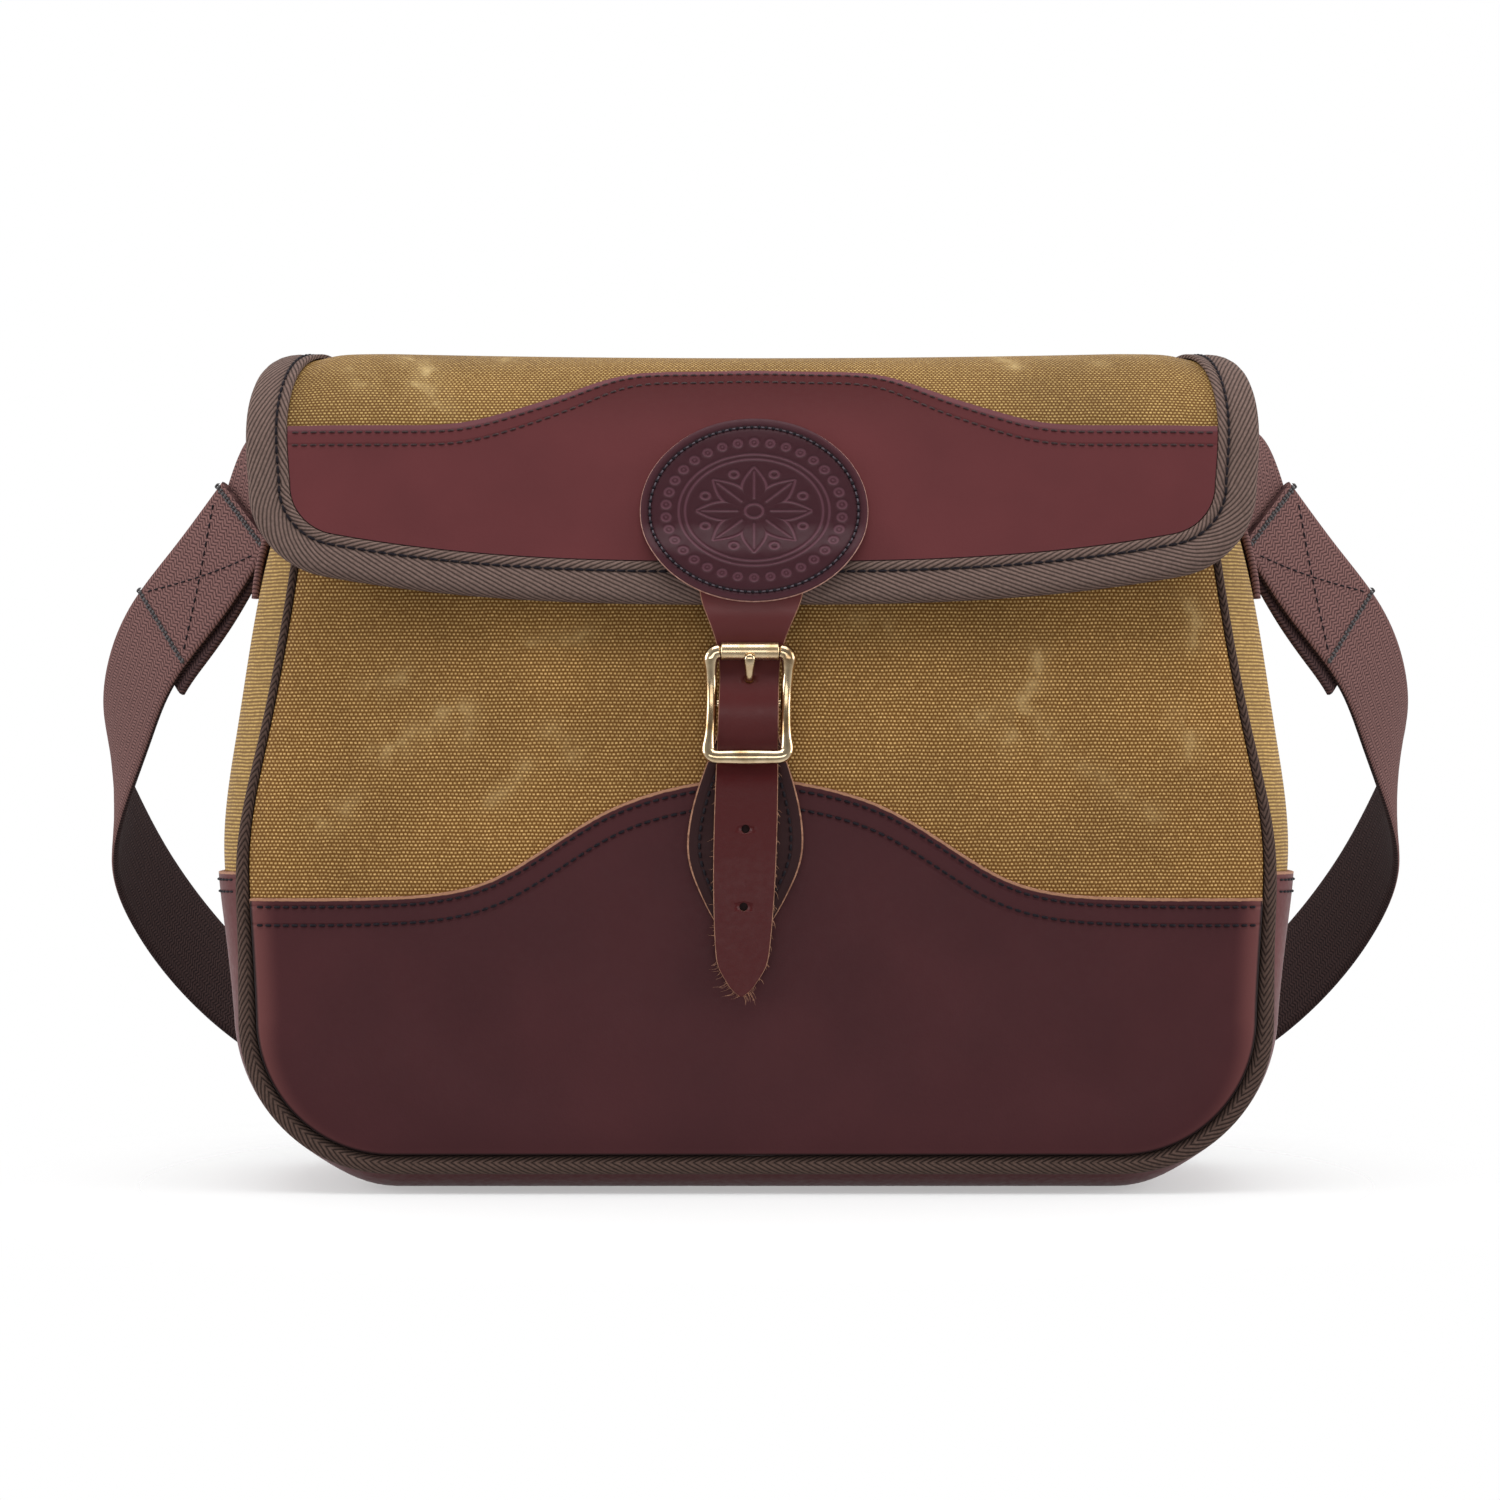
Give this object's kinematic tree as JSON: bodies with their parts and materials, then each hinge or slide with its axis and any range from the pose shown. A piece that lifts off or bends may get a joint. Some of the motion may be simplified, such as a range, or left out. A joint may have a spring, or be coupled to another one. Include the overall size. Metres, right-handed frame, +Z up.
{
  "type": "satchel",
  "caption": "Waxed canvas satchel with leather trim, a flap closed by a strap and roller buckle, and a webbing shoulder strap.",
  "frame": {"origin": "middle of the bag's flat bottom, on the surface that it stands on", "axes": "+X from the left to the right of the bag as seen from the front, front faces -Y, +Z up"},
  "size_m": [0.4628, 0.2978, 0.2714],
  "materials": {
    "waxed_canvas": "tan waxed cotton duck, plain weave",
    "bridle_leather": "dark oxblood brown, smooth, semi-matt",
    "patch_leather": "dark brown, glossy, embossed",
    "twill_tape": "grey brown cotton twill tape",
    "cotton_webbing": "dusty rose brown herringbone webbing",
    "polished_brass": "pale polished brass"
  },
  "bodies": {
    "root": {"front_canvas": "waxed_canvas", "front_leather": "bridle_leather", "back_flap_canvas": "waxed_canvas", "back_leather": "bridle_leather", "gusset_canvas_left": "waxed_canvas", "gusset_canvas_right": "waxed_canvas", "gusset_leather": "bridle_leather", "front_piping": "twill_tape", "back_piping": "twill_tape", "flap_yoke": "bridle_leather", "flap_binding": "twill_tape", "oval_patch": "patch_leather", "closure_strap": "bridle_leather", "buckle_leather": "bridle_leather", "buckle_frame": "polished_brass", "buckle_roller": "polished_brass", "buckle_tongue": "polished_brass", "shoulder_strap": "cotton_webbing", "strap_tab_left": "cotton_webbing", "strap_tab_right": "cotton_webbing"}
  },
  "joints": []
}
